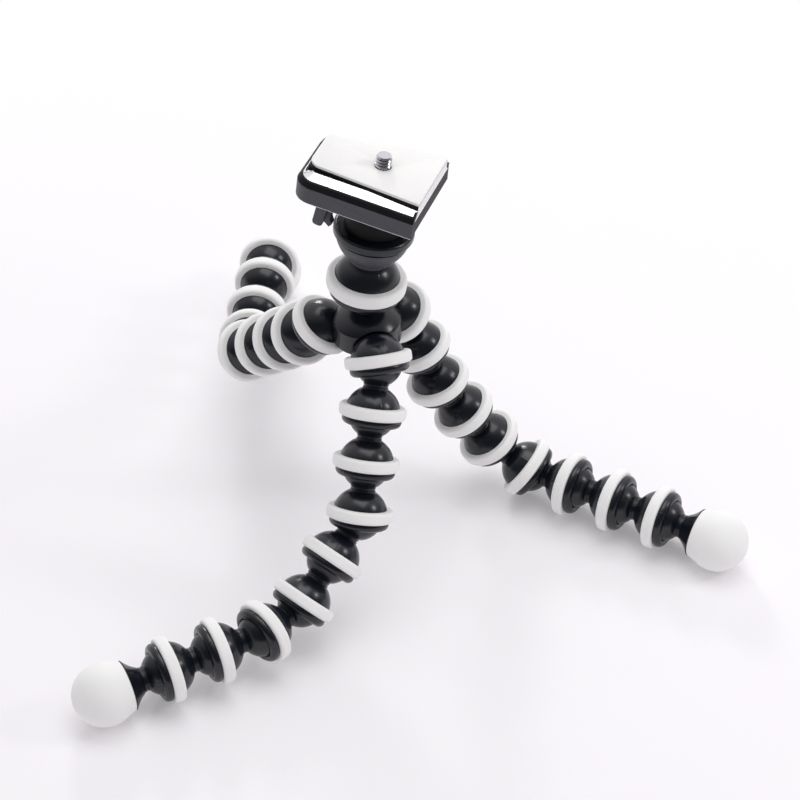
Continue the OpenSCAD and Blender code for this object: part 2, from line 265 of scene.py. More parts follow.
# Painted reflection: a pale half-metal finish put on the base's bevels and lower edge and on the
# plate's end face, standing for light mirrored in black glossy plastic.
PAINTED_REFLECTION = Finish("painted_reflection", "grey_plastic", Pattern.MOULDED, (0.74, 0.74, 0.75),
             (0.80, 0.80, 0.81), (0.16, 0.24), 0.03, metallic=0.6)
PLATE = Finish("plate_black", "plate_plastic", Pattern.SPARKED, (0.005, 0.005, 0.006),
               (0.011, 0.011, 0.013), (0.46, 0.58), 0.15, specular=0.14)
PAD = Finish("pale_pad", "plate_plastic", Pattern.DIMPLED, (0.87, 0.87, 0.86),
             (0.80, 0.795, 0.77), (0.55, 0.70), 0.25, specular=0.3)
STEEL = Finish("turned_steel", "steel", Pattern.TURNED, (0.60, 0.60, 0.62),
               (0.74, 0.74, 0.76), (0.14, 0.26), 0.08, metallic=1.0)


class Outline(list[Pair]):
    """A half section: its points in the r, z plane, drawn from one to the next."""

    def to(self, *points: Pair) -> "Outline":
        """Goes straight to each point in turn, and returns the outline."""
        self.extend(points)
        return self

    def arc(
        self, r: float, z: float, radius: float, start: float, end: float, steps: int
    ) -> "Outline":
        """Follows an arc.

        Args:
            r: Middle of the arc, from the axis.
            z: Middle of the arc, along the axis.
            radius: Radius of the arc.
            start: First angle in degrees, from outward towards +z.
            end: Last angle.
            steps: Number of pieces.
        Returns:
            The outline.
        """
        for angle in np.radians(np.linspace(start, end, steps + 1)):
            self.append((max(r + radius * cos(angle), 0.0), z + radius * sin(angle)))
        return self

    def flipped(self) -> "Outline":
        """Returns the outline turned upside down."""
        return Outline((r, -z) for r, z in self)


class Lathe:
    """A Geometry Nodes tree that turns an outline round Z, with a mould seam or a screw thread.

    Lengths are millimetres. Crowding draws the columns together at the two lines of the seam.
    """

    VALLEY = "Valley"
    SEAM_HALF = 0.22
    SEAM_FROM = 1.0
    WELD = 0.0008
    SEAM = {"Seam": 0.07, "Crowding": 0.82}
    INPUTS = {
        "Columns": 96, "Seam": 0.0, "Crowding": 0.0, "Thread Depth": 0.0, "Thread Pitch": 1.27,
        "Thread Start": 0.0, "Thread End": 0.0, "Material": None,
    }
    KINDS = {int: "NodeSocketInt", float: "NodeSocketFloat", type(None): "NodeSocketMaterial"}

    def __init__(self) -> None:
        """Builds the tree."""
        self.tree = bpy.data.node_groups.new("Lathe", "GeometryNodeTree")
        self.keys: dict[str, str] = {}
        face = self.tree.interface
        face.new_socket("Geometry", in_out="INPUT", socket_type="NodeSocketGeometry")
        for name, default in self.INPUTS.items():
            socket = face.new_socket(name, in_out="INPUT", socket_type=self.KINDS[type(default)])
            if default is not None:
                socket.default_value = default
            self.keys[name] = socket.identifier
        face.new_socket("Geometry", in_out="OUTPUT", socket_type="NodeSocketGeometry")
        self._wire(Graph(self.tree))

    @staticmethod
    def _wire(graph: Graph) -> None:
        """Wires the tree: a unit grid has a row for each point of the outline and is bent round Z.

        Args:
            graph: The empty tree.
        """
        given = graph.node("NodeGroupInput")
        rows = graph.node("GeometryNodeAttributeDomainSize", {"Geometry": given}, component="MESH")
        counts = {"Vertices X": given.out("Columns") + 1.0, "Vertices Y": rows}
        grid = graph.node("GeometryNodeMeshGrid", {"Size X": 1.0, "Size Y": 1.0, **counts})
        here = graph.node("GeometryNodeInputPosition")
        spot = graph.node("ShaderNodeSeparateXYZ", {0: here})
        across, upward = spot + 0.5, spot.out("Y") + 0.5
        index = {0: upward * (rows - 1.0)}
        row = graph.node("FunctionNodeFloatToInt", index, rounding_mode="ROUND")
        sample = {"Geometry": given, "Value": here, "Index": row}
        point = graph.node("GeometryNodeSampleIndex", sample, data_type="FLOAT_VECTOR")
        section = graph.node("ShaderNodeSeparateXYZ", {0: point})
        even = across * tau
        turn = even - given.out("Crowding") * 0.5 * (even * 2.0).apply("SINE")
        from_seam = turn.apply("SINE") * section / Lathe.SEAM_HALF
        ridge = given.out("Seam") * (from_seam * from_seam * -1.0).apply("EXPONENT")
        height = section.out("Z")
        cut = (height > given.out("Thread Start")) * (height < given.out("Thread End"))
        phase = (height / given.out("Thread Pitch") - turn / tau).apply("FRACT")
        valley = cut * (phase * 2.0 - 1.0).apply("ABSOLUTE")
        radius = section + ridge * (section > Lathe.SEAM_FROM) - valley * given.out("Thread Depth")
        turned = {0: radius * turn.apply("COSINE"), 1: radius * turn.apply("SINE"), 2: height}
        place = graph.node("ShaderNodeCombineXYZ", turned)
        flat = graph.node("ShaderNodeCombineXYZ", {0: across, 1: upward})
        store = "GeometryNodeStoreNamedAttribute"
        unrolled = {"Geometry": grid, "Name": "UVMap", "Value": flat}
        mapped = graph.node(store, unrolled, data_type="FLOAT2", domain="CORNER")
        marked = graph.node(store, {"Geometry": mapped, "Name": Lathe.VALLEY, "Value": valley})
        moved = graph.node("GeometryNodeSetPosition", {"Geometry": marked, "Position": place})
        weld = {"Geometry": moved, "Distance": Lathe.WELD}
        closed = graph.node("GeometryNodeMergeByDistance", weld)
        real = graph.node("GeometryNodeRealizeInstances", {"Geometry": closed})
        dress = {"Geometry": real, "Material": given.out("Material")}
        graph.end("NodeGroupOutput", Geometry=graph.node("GeometryNodeSetMaterial", dress))

    def turn(
        self, name: str, outline: Outline, finish: Finish, sharp: float = 32.0, **sizes: float
    ) -> Mesh:
        """Turns an outline into a plain mesh, in millimetres about the origin.

        Args:
            name: Name of the mesh.
            outline: The half section.
            finish: The finish to set.
            sharp: Angle in degrees above which an edge is sharp.
            sizes: The tree's other inputs, with _ for a blank in their names.
        Returns:
            The mesh, with its faces outward.
        """
        strip = bpy.data.meshes.new(name + "_outline")
        strip.from_pydata([(r, 0.0, z) for r, z in outline], [], [])
        holder = linked(name + "_lathe", strip)
        modifier = holder.modifiers.new("Lathe", "NODES")
        modifier.node_group = self.tree
        for key, value in sizes.items():
            modifier[self.keys[key.replace("_", " ")]] = value
        modifier[self.keys["Material"]] = finish.material()
        mesh = plain_mesh(holder, name)
        mesh.materials.clear()
        mesh.materials.append(finish.material())
        mesh.polygons.foreach_set("material_index", [0] * len(mesh.polygons))
        face_outward(mesh, sharp)
        return mesh


def linked(name: str, data: ID) -> Object:
    """Makes an object and links it to the scene.

    Args:
        name: Name of the object.
        data: Its mesh, lamp or camera.
    Returns:
        The object.
    """
    made = bpy.data.objects.new(name, data)
    bpy.context.scene.collection.objects.link(made)
    return made


def joint_points() -> dict[str, Vector]:
    """Returns the middles of the frame's joints by name, in millimetres."""
    return {j["name"]: Vector(j["pos_m"]) / MM for j in frame["joints"] if "pos_m" in j}


def plain_mesh(holder: Object, name: str) -> Mesh:
    """Turns an object with modifiers into a plain mesh and removes the object.

    Args:
        holder: The object.
        name: Name of the mesh.
    Returns:
        The mesh.
    """
    graph = bpy.context.evaluated_depsgraph_get()
    mesh = bpy.data.meshes.new_from_object(holder.evaluated_get(graph))
    mesh.name = name
    source = holder.data
    holder.modifiers.clear()
    bpy.data.objects.remove(holder)
    bpy.data.meshes.remove(source)
    return mesh


def face_outward(mesh: Mesh, sharp: float) -> None:
    """Turns every face of a closed mesh outward and shades it smooth between its sharp edges.

    Args:
        mesh: The mesh.
        sharp: Angle in degrees above which an edge is sharp.
    """
    work = bmesh.new()
    work.from_mesh(mesh)
    bmesh.ops.recalc_face_normals(work, faces=work.faces)
    for face in work.faces:
        face.smooth = True
    work.to_mesh(mesh)
    work.free()
    mesh.set_sharp_from_angle(angle=radians(sharp))


def placed(mesh: Mesh, place: Matrix, name: str) -> Mesh:
    """Copies a mesh in millimetres to its place, in metres.

    Args:
        mesh: The mesh about the origin.
        place: Its place in millimetres.
        name: Name of the copy.
    Returns:
        The copy.
    """
    made = mesh.copy()
    made.name = name
    made.transform(Matrix.Scale(MM, 4) @ place)
    return made


def joined(parts: Sequence[Mesh], name: str) -> Mesh:
    """Joins meshes that have the same materials into one, and removes them.

    Args:
        parts: The meshes.
        name: Name of the joined mesh.
    Returns:
        The joined mesh.
    """
    work = bmesh.new()
    for part in parts:
        work.from_mesh(part)
    made = bpy.data.meshes.new(name)
    work.to_mesh(made)
    work.free()
    for material in parts[0].materials:
        made.materials.append(material)
    for part in parts:
        bpy.data.meshes.remove(part)
    return made


def add_piece(mesh: Mesh, body: str, slot: str, *nodes: str) -> None:
    """Adds a mesh to the scene as a piece of the tripod.

    Args:
        mesh: The finished mesh, in its place.
        body: The body it rides on.
        slot: The record's material slot; not used.
        nodes: The nodes it stands for.
    """
    piece = linked(mesh.name, mesh)
    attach(piece, body)
    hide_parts(*nodes)
    LOG.info("%s: %d faces on %s", piece.name, len(mesh.polygons), body)


def along(start: Vector, direction: Vector, roll: float = 0.0) -> Matrix:
    """Place that puts the origin on a point and Z along a direction.

    Args:
        start: The point, in millimetres.
        direction: The direction.
        roll: Turn about it, in degrees.
    Returns:
        The place.
    """
    z = direction.normalized()
    x = Vector((0.0, 0.0, 1.0)).cross(z)
    x = x.normalized() if x.length > 1e-4 else Vector((1.0, 0.0, 0.0))
    turn = Matrix((x, z.cross(x), z)).transposed().to_4x4()
    return Matrix.Translation(start) @ turn @ Matrix.Rotation(radians(roll), 4, "Z")


@dataclass(frozen=True)
class Bell:
    """Sizes of a bell about the middle of its socket, which opens towards +Z.

    The sizes in capitals are shares of its radius; CORNER is a share of the ring's thickness.
    """

    r: float
    stand: float = 2.35
    ball_gap: float = 0.15
    seat: float = 0.15
    bend: float = 35.0
    crown: float = 0.08
    mouth_ease: Pair = (0.12, 0.17)
    lip_ease: float = 6.0
    ring_ease: float = 0.4

    BALL = 0.85
    DOME_Z = -0.0625
    RING_ENDS = (-0.143 - 0.23, -0.143 + 0.23)
    GROOVE = 0.94
    LIP = (0.87, 0.17, 0.2)
    MOUTH = 0.8
    CORNER = 0.42

    @property
    def ball(self) -> float:
        """Radius of the ball it takes."""
        return self.BALL * self.r

    @property
    def socket(self) -> float:
        """Radius of the socket."""
        return self.ball + self.ball_gap

    @property
    def dome_z(self) -> float:
        """Middle of the dome."""
        return self.DOME_Z * self.r

    @property
    def ring_ends(self) -> Pair:
        """Lower and upper end of the ring's groove."""
        low, high = self.RING_ENDS
        return low * self.r, high * self.r

    def draw(self, outline: Outline, z: float, start_r: float, steps: int = 18) -> None:
        """Draws the dome, the groove, the lip, the mouth and the socket, down to the axis.

        Args:
            outline: The outline to draw on.
            z: Middle of the socket.
            start_r: Radius at which the dome starts.
            steps: Pieces of the dome.
        """
        low, high = self.ring_ends
        first = -degrees(acos(start_r / self.r))
        last = degrees(asin((low - self.dome_z) / self.r))
        outline.arc(0.0, z + self.dome_z, self.r, first, last, steps)
        outline.to((self.groove_r, z + low), (self.groove_r, z + high))
        lip_r, lip_z, lip = (share * self.r for share in self.LIP)
        edge = degrees(asin((high - lip_z) / lip))
        mouth_r, mouth_z = self.mouth
        lean = radians(self.bend)
        dr, dz = mouth_r - lip_r, mouth_z - lip_z
        slope = dr * sin(lean) + dz * cos(lean)
        reach = -slope + sqrt(slope**2 - dr**2 - dz**2 + lip**2)
        end = degrees(atan2(dz + reach * cos(lean), dr + reach * sin(lean)))
        outline.arc(lip_r, z + lip_z, lip, edge, end - self.lip_ease, steps=16)
        out, up = self.mouth_ease
        outline.to((mouth_r + out, z + mouth_z + up))
        rise = degrees(asin(mouth_z / self.socket))
        outline.arc(0.0, z, self.socket, rise, -90.0, steps=16)

    @property
    def groove_r(self) -> float:
        """Radius of the ring's groove."""
        return self.GROOVE * self.r

    @property
    def mouth(self) -> Pair:
        """Radius and height of the mouth's edge."""
        r = self.MOUTH * self.r
        return r, sqrt(self.socket**2 - r**2)

    def ring(self, z: float = 0.0) -> Outline:
        """Draws the grip ring, with a slight crown.

        Args:
            z: Middle of the socket.
        Returns:
            The ring's outline.
        """
        low, high = self.ring_ends
        low, high = z + low + self.seat, z + high - self.seat
        inner, outer = self.groove_r + self.seat, self.r + self.stand
        corner = self.CORNER * (outer - self.groove_r)
        bend_r, flat = outer - corner - self.crown, outer - corner - self.ring_ease
        made = Outline().to((inner, low), (flat, low))
        made.arc(bend_r, low + corner, corner, -90.0, 0.0, steps=8)
        made.to((outer, (low + high) / 2))
        made.arc(bend_r, high - corner, corner, 0.0, 90.0, steps=8)
        return made.to((flat, high), (inner, high), (inner, low))


LEG_BELL = Bell(11.2)
STEM_BELL = Bell(13.7)


@dataclass(frozen=True)
class LinkShape:
    """Sizes of a leg link from the middle of its ball, with its axis along Z."""

    bell: Bell = LEG_BELL
    pitch: float = 20.8
    neck_r: float = 4.7
    bead_r: float = 0.4
    bead_pitch: float = 1.25
    waist_ease: float = 1.08

    @property
    def dome_at(self) -> float:
        """Middle of the dome."""
        return self.pitch + self.bell.dome_z

    @property
    def flare(self) -> float:
        """Radius at both ends of the waist."""
        return 0.5 * self.bell.r

    @property
    def dome_start(self) -> float:
        """Height at which the waist ends and the dome starts."""
        return self.dome_at - sqrt(self.bell.r**2 - self.flare**2)

    def ball_and_neck(self, outline: Outline) -> None:
        """Draws the ball, the waist and the two beads round it, up to the dome.

        Args:
            outline: The outline to draw on.
        """
        ball, flare = self.bell.ball, self.flare
        outline.arc(0.0, 0.0, ball, -90.0, degrees(acos(flare / ball)), steps=22)
        low = sqrt(ball**2 - flare**2)
        high = self.dome_start
        middle, half, inward = (low + high) / 2, (high - low) / 2, flare - self.neck_r
        waist = self.waist_ease * (inward**2 + half**2) / (2 * inward)
        for z in np.linspace(low, high, 44)[1:-1]:
            r = self.neck_r + waist - sqrt(waist**2 - (z - middle) ** 2)
            for side in (-0.5, 0.5):
                off = z - middle - side * self.bead_pitch
                if abs(off) < self.bead_r:
                    r = max(r, self.neck_r + sqrt(self.bead_r**2 - off**2))
            outline.to((r, float(z)))

    def link(self) -> Outline:
        """Returns the outline of a link."""
        made = Outline()
        self.ball_and_neck(made)
        self.bell.draw(made, self.pitch, self.flare)
        return made


@dataclass(frozen=True)
class FootShape:
    """Sizes of a foot's core and cap from the middle of its ball."""

    link: LinkShape = LinkShape()
    cap_r: float = 12.75
    reach: float = 25.5
    seat: float = 0.15
    rim_z: float = 15.5
    rim_h: float = 0.25
    skirt: float = 3.5
    flare_power: float = 0.7

    @property
    def stub_r(self) -> float:
        """Radius of the stub inside the cap."""
        return 0.55 * self.cap_r

    @property
    def rim_r(self) -> float:
        """Radius of the core's rim, on the dome of a link."""
        return sqrt(self.link.bell.r**2 - (self.rim_z - self.link.dome_at) ** 2)

    def core(self) -> Outline:
        """Returns the outline of the core: ball, neck, hollow flare up to the rim, and stub."""
        made, stub = Outline(), self.stub_r
        self.link.ball_and_neck(made)
        flare, start = self.link.flare, self.link.dome_start
        wider, higher = self.rim_r - flare, self.rim_z - start
        for part in np.linspace(0.0, 1.0, 19)[1:]:
            made.to((flare + wider * part, start + higher * part**self.flare_power))
        top, bevel = self.rim_z + self.rim_h, 0.05
        made.to((self.rim_r - bevel, top), (stub, top))
        return made.to((stub, self.reach), (0.0, self.reach))

    def cap(self) -> Outline:
        """Returns the outline of the cap, a ball that runs out in a skirt to the core's rim."""
        bore, top = self.stub_r + self.seat, self.reach + self.seat
        low = self.rim_z + self.rim_h + self.seat
        inner, outer, rise = 0.45, 0.08, 0.1
        made = Outline().to((0.0, top), (bore, top), (bore, low), (self.rim_r - inner, low))
        made.to((self.rim_r - outer, low + rise))
        first = -degrees(asin(self.skirt / self.cap_r))
        return made.arc(0.0, self.reach, self.cap_r, first, 90.0, steps=36)


@dataclass
class Leg:
    """One leg: eight links with their rings, and a foot."""

    name: str
    lathe: Lathe
    foot: FootShape = FootShape()
    link_roll: float = 61.0
    foot_roll: float = 20.0

    def build(self, forms: Mapping[str, Mesh]) -> None:
        """Puts the turned forms on the leg's bodies.

        Args:
            forms: The turned meshes by name: link, ring, core and cap.
        """
        at = joint_points()
        balls = [at[f"{self.name}_ball_{n}"] for n in range(1, LINKS + 2)]
        for n in range(1, LINKS + 1):
            start, end = balls[n - 1], balls[n]
            body = f"{self.name}_leg_{n}"
            place = along(start, end - start, self.link_roll * n)
            for form, slot in (("link", BLACK.slot), ("ring", WHITE.slot)):
                name = f"{self.name}_{form}_{n}"
                add_piece(placed(forms[form], place, name + "_looks"), body, slot, name)
        last = balls[LINKS] - balls[LINKS - 1]
        dip = asin((balls[LINKS].z - self.foot.cap_r) / self.foot.reach)
        level = Vector((last.x, last.y, 0.0)).normalized()
        way = level * cos(dip) - Vector((0.0, 0.0, sin(dip)))
        place = along(balls[LINKS], way, self.foot_roll)
        for form, slot in (("core", BLACK.slot), ("cap", WHITE.slot)):
            mesh = placed(forms[form], place, f"{self.name}_foot_{form}")
            add_piece(mesh, f"{self.name}_foot", slot, f"{self.name}_foot")

    def forms(self) -> dict[str, Mesh]:
        """Returns the turned meshes that every leg shares."""
        shape = self.foot.link
        return {
            "link": self.lathe.turn("link_form", shape.link(), BLACK, **Lathe.SEAM),
            "ring": self.lathe.turn("ring_form", shape.bell.ring(shape.pitch), WHITE),
            "core": self.lathe.turn("core_form", self.foot.core(), BLACK, **Lathe.SEAM),
            "cap": self.lathe.turn("cap_form", self.foot.cap(), WHITE),
        }


@dataclass
class Hub:
    """The hub: three bells with rings, an arched barrel, a core and the top ball."""

    lathe: Lathe
    bell: Bell = LEG_BELL
    stem_bell: Bell = STEM_BELL
    spread: float = 19.2
    dip: float = 55.0
    barrel_r: float = 14.0
    barrel_low: float = -0.4
    groove: float = 0.6
    rounding: float = 0.3
    core_ends: Pair = (-1.5, 8.5)
    top_rise: float = 25.2
    centre: Vector = field(init=False)
    bells: list[Vector] = field(init=False)
    headings: list[float] = field(init=False)

    def __post_init__(self) -> None:
        """Finds the middle of the hub, its bells and their headings from the joints."""
        at = joint_points()
        self.centre = at["stem_ball"] - Vector((0.0, 0.0, self.top_rise))
        self.bells = [at[f"{leg}_ball_1"] for leg in LEGS]
        offsets = [ball - self.centre for ball in self.bells]
        self.headings = [atan2(offset.y, offset.x) for offset in offsets]

    def outward(self, ball: Vector) -> Vector:
        """Finds the direction in which a bell opens.

        Args:
            ball: Middle of the bell's socket.
        Returns:
            The direction.
        """
        level = (ball - self.centre).normalized()
        dip = radians(self.dip)
        return level * cos(dip) - Vector((0.0, 0.0, sin(dip)))

    def build(self) -> None:
        """Builds the hub's body and its rings."""
        outline = Outline()
        self.bell.draw(outline, 0.0, start_r=1e-6, steps=26)
        bell = self.lathe.turn("bell_form", outline, BLACK, **Lathe.SEAM)
        ring = self.lathe.turn("bell_ring_form", self.bell.ring(), WHITE)
        places = [along(ball, self.outward(ball), 90.0) for ball in self.bells]
        solids = [placed(bell, place, "bell") for place in places]
        core = self.lathe.turn("core_post", self.core(), BLACK)
        middle = Matrix.Translation(self.centre)
        solids += [placed(core, middle, "core"), placed(self.barrel(), middle, "barrel")]
        add_piece(joined(solids, "hub_body_looks"), "hub", BLACK.slot, "hub_body")
        rings = [placed(ring, place, "ring") for place in places]
        add_piece(joined(rings, "hub_rings_looks"), "hub", WHITE.slot, "hub_rings")

    def core(self) -> Outline:
        """Returns the outline of the core, the post and the top ball."""
        ball, (low, high) = self.stem_bell.ball, self.core_ends
        post, core = 0.5 * ball, 0.5 * self.spread
        made = Outline().to((0.0, low), (core, low), (core, high), (post, high))
        return made.arc(0.0, self.top_rise, ball, -60.0, 90.0, steps=30)

    def arch(self, r: float, angle: float) -> float:
        """Finds where the barrel's wall stops.

        Args:
            r: Distance from the hub's axis.
            angle: Heading about it, in radians.
        Returns:
            Height of the arch over the bell there, or of the barrel's lower end.
        """
        hollow, best = self.bell.r + self.groove, self.barrel_low
        reach = self.spread + self.bell.dome_z * cos(radians(self.dip))
        mid_z = self.bell.dome_z * self.outward(self.bells[0]).z
        for heading in self.headings:
            away = r * r + reach**2 - 2 * r * reach * cos(angle - heading)
            if away < hollow**2:
                best = max(best, mid_z + sqrt(hollow**2 - away))
        return best

    def wall(self) -> list[Pair]:
        """Returns the section of the barrel's outside, down a dome and a straight wall."""
        dome, dome_z, first = 1.28 * self.barrel_r, -0.2 * self.barrel_r, 0.12
        angles = np.linspace(first, asin(self.barrel_r / dome), 24)
        made = [(dome * sin(a), dome_z + dome * cos(a)) for a in angles]
        heights = np.linspace(made[-1][1], self.barrel_low, 26)[1:]
        return made + [(self.barrel_r, z) for z in heights]

    def column(self, wall: list[Pair], angle: float) -> list[Pair]:
        """Follows the wall down to the arch, and the arch's underside a little way in.

        Args:
            wall: The wall's section.
            angle: Heading of the column, in radians.
        Returns:
            Its points, as r and z.
        """
        kept = [point for point in wall if point[1] > self.arch(point[0], angle)]
        last, after = kept[-1], wall[min(len(kept), len(wall) - 1)]
        for _ in range(12):
            mid = ((last[0] + after[0]) / 2, (last[1] + after[1]) / 2)
            last, after = (mid, after) if mid[1] > self.arch(mid[0], angle) else (last, mid)
        kept.append(last)
        length = np.r_[0.0, np.cumsum([dist(a, b) for a, b in zip(kept, kept[1:])])]
        steps = np.r_[np.linspace(0.0, max(length[-1] - self.rounding, 0.1), 40), length[-1]]
        line = list(zip(*(np.interp(steps, length, side) for side in zip(*kept))))
        (end_r, end_z), ease_r, ease_z = line[-1], 0.09, 0.02
        line[-1] = (end_r - ease_r, end_z + ease_z)
        depths, inside, rise = (self.rounding, 0.9, 1.8, 2.8), 3.2, 1.0
        line += [(end_r - depth, self.arch(end_r - depth, angle)) for depth in depths]
        return line + [(end_r - inside, line[-1][1] + rise)]

    def barrel(self, columns: int = 288) -> Mesh:
        """Makes the barrel: a domed wall that stops at an arch over each bell.

        Args:
            columns: Points round the barrel.
        Returns:
            The mesh in millimetres, about the middle of the bells.
        """
        points, wall = [], self.wall()
        for angle in np.linspace(0.0, tau, columns, endpoint=False):
            line = self.column(wall, angle)
            points += [(r * cos(angle), r * sin(angle), z) for r, z in line]
        count = len(points) // columns
        faces = []
        for column in range(columns):
            here, there = column * count, (column + 1) % columns * count
            faces += [(here + k, there + k, there + k + 1, here + k + 1) for k in range(count - 1)]
        faces += [tuple(range(k, len(points), count)) for k in (0, count - 1)]
        mesh = bpy.data.meshes.new("barrel_form")
        mesh.from_pydata(points, [], faces)
        mesh.materials.append(BLACK.material())
        face_outward(mesh, sharp=40.0)
        return mesh


@dataclass
class Head:
    """Everything above the hub: stem, ring, collar, base, lever, plate and screw."""

    lathe: Lathe
    bell: Bell = STEM_BELL
    collar_z: float = 20.1
    collar_h: float = 9.0
    collar_r: float = 16.0
    bowl_drop: float = 5.6
    neck_r: float = 8.0
    spindle_r: float = 6.0
    retainer_r: float = 7.5
    retainer_ends: Pair = (2.5, 4.5)
    base_z: float = 43.4
    base_h: float = 11.0
    pad_rise: float = 2.5
    pad_h: float = 1.2
    screw_r: float = 3.175
    screw_rise: float = 5.0
    pitch: float = 1.27
    seam: float = 0.09
    seam_heading: float = -48.0
    place: Matrix = field(init=False)
    back: Matrix = field(init=False)

    SHARP = radians(24.0)
    END_FACE, SLOPE, CHAMFER = 0.9, (0.85, 0.975), (-0.9, -0.2)
    WEIGHT = "bevel_weight_edge"

    def __post_init__(self) -> None:
        """Finds the head's place in millimetres from the joints, and the way back from metres."""
        joints = {j["name"]: j for j in frame["joints"]}
        up = Vector(joints["head_pan"]["axis"]).normalized()
        side = Vector(joints["plate_slide"]["axis"]).normalized()
        turn = Matrix((side, up.cross(side), up)).transposed().to_4x4()
        self.place = Matrix.Translation(joint_points()["stem_ball"]) @ turn
        self.back = (Matrix.Scale(MM, 4) @ self.place).inverted()

    @property
    def base_top(self) -> float:
        """Height of the base's upper edge."""
        return self.base_z + self.base_h

    @property
    def pad_top(self) -> float:
        """Height of the pad's upper face."""
        return self.base_top + self.pad_rise

    def build(self) -> None:
        """Builds every piece of the head."""
        self.build_stem()
        self.build_collar()
        self.build_base()
        self.build_plate()
        self.build_screw()

    def build_stem(self) -> None:
        """Builds the stem with its bell, and the bell's ring."""
        bell, wider, rise = Outline(), 0.8, 1.2
        self.bell.draw(bell, 0.0, self.neck_r + wider, steps=22)
        made = Outline(reversed(bell.flipped()))
        r, (low, high) = self.retainer_r, (self.base_z + end for end in self.retainer_ends)
        top = self.collar_z + self.collar_h
        made.to((self.neck_r, made[-1][1] + rise), (self.neck_r, top), (self.spindle_r, top))
        made.to((self.spindle_r, low), (r, low), (r, high), (0.0, high))
        mesh = self.lathe.turn("stem_form", made, BLACK, **{**Lathe.SEAM, "Seam": self.seam})
        place = self.place @ Matrix.Rotation(radians(self.seam_heading), 4, "Z")
        add_piece(placed(mesh, place, "stem_link_looks"), "stem", BLACK.slot, "stem_link")
        ring = self.lathe.turn("stem_ring_form", self.bell.ring().flipped(), WHITE)
        add_piece(placed(ring, self.place, "stem_ring_looks"), "stem", WHITE.slot, "stem_ring")

    def build_collar(self) -> None:
        """Builds the locking collar: a satin bowl, a groove and a rounded rim."""
        bore, r, h, drop = self.neck_r + 0.2, self.collar_r, self.collar_h, self.bowl_drop
        corner, groove, deep, ease = 1.4, 0.75, 1.0, 0.3
        wide, low = r - 1.2, bore + 0.7
        mid = (wide**2 - low**2 + (h / 2) ** 2 - drop**2) / (h + 2 * drop)
        ball = hypot(wide, h / 2 - mid)
        first, last = (degrees(asin((z - mid) / ball)) for z in (-drop, h / 2 - groove))
        made = Outline().to((bore, -drop), (low - 0.25, -drop))
        made.arc(0.0, mid, ball, first + 0.8, last, steps=18)
        made.to((wide - deep, h / 2 - groove), (wide - deep, h / 2))
        made.arc(r - corner, h / 2 + corner, corner, -85.0, 0.0, steps=10)
        made.arc(r - corner, h - corner, corner, 0.0, 90.0, steps=12)
        made.to((bore + ease, h), (bore, h - ease), (bore, -drop))
        mesh = self.lathe.turn("collar_form", made, BLACK, Columns=128)
        mesh.materials.append(GREY.material())
        for face in mesh.polygons:
            face.material_index = int(face.center.z < h / 2 - groove)
        place = self.place @ Matrix.Translation((0.0, 0.0, self.collar_z))
        mesh = placed(mesh, place, "lock_collar_looks")
        add_piece(mesh, "lock_collar", BLACK.slot, "lock_collar")

    def merged(self, node: str) -> BMesh:
        """Copies a node's solid, with its loose triangles merged into whole faces.

        Args:
            node: Name of the node.
        Returns:
            The copy, in metres.
        """
        work = bmesh.new()
        work.from_mesh(frame["nodes"][node].data)
        bmesh.ops.remove_doubles(work, verts=work.verts, dist=2e-6)
        flat = radians(0.7)
        bmesh.ops.dissolve_limit(work, angle_limit=flat, verts=work.verts, edges=work.edges)
        bmesh.ops.recalc_face_normals(work, faces=work.faces)
        work.edges.layers.float.new(Head.WEIGHT)
        return work

    @staticmethod
    def softened(
        work: BMesh,
        name: str,
        width: float,
        finishes: Sequence[Finish],
        chosen: Optional[Iterable[BMEdge]] = None,
    ) -> Mesh:
        """Softens the edges of a merged copy.

        Args:
            work: The copy, which is used up.
            name: Name of the mesh.
            width: Width of the softened edges.
            finishes: The mesh's finishes, in the order of its faces' indices.
            chosen: The edges to soften at full width; without them every sharp edge is softened.
        Returns:
            The mesh in its place, in metres.
        """
        for face in work.faces:
            face.smooth = True
        if chosen is not None:
            weight = work.edges.layers.float[Head.WEIGHT]
            for edge in work.edges:
                edge.smooth = edge.calc_face_angle(0.0) < Head.SHARP
            for edge in chosen:
                edge[weight] = 1.0
        mesh = bpy.data.meshes.new(name + "_copy")
        for finish in finishes:
            mesh.materials.append(finish.material())
        work.to_mesh(mesh)
        work.free()
        holder = linked(name + "_holder", mesh)
        edge = holder.modifiers.new("Edges", "BEVEL")
        edge.width = width * MM
        edge.segments = 2
        edge.limit_method = "ANGLE" if chosen is None else "WEIGHT"
        edge.angle_limit = Head.SHARP
        edge.harden_normals = True
        edge.use_clamp_overlap = chosen is None
        return plain_mesh(holder, name + "_looks")

    def outer_edges(self, work: BMesh, level: float) -> list[BMEdge]:
        """Finds the edges of a convex solid's outline at one height.

        Args:
            work: The solid, in its place.
            level: The height along the head's axis.
        Returns:
            The edges that have every other point of that height on one side.
        """
        near, slack = 0.03, 0.02
        at = {vert: self.back @ vert.co for vert in work.verts}
        flat = {vert: point.xy for vert, point in at.items() if abs(point.z - level) < near}
        found = []
        for edge in work.edges:
            if all(vert in flat for vert in edge.verts):
                start, end = (flat[vert] for vert in edge.verts)
                way = (end - start).normalized()
                off = [way.cross(point - start) for point in flat.values()]
                if min(off) > -slack or max(off) < slack:
                    found.append(edge)
        return found

    def height(self, point: Vector) -> float:
        """Height of a point in metres along the head's axis, in millimetres."""
        return (self.back @ point).z

    def own(self, normal: Vector) -> Vector:
        """A direction in the head's own axes."""
        return self.place.to_3x3().transposed() @ normal

    def build_base(self) -> None:
        """Builds the base, black with a grey side, pale painted reflection on its sloping rim and
        lower edge, and the release lever.
        """
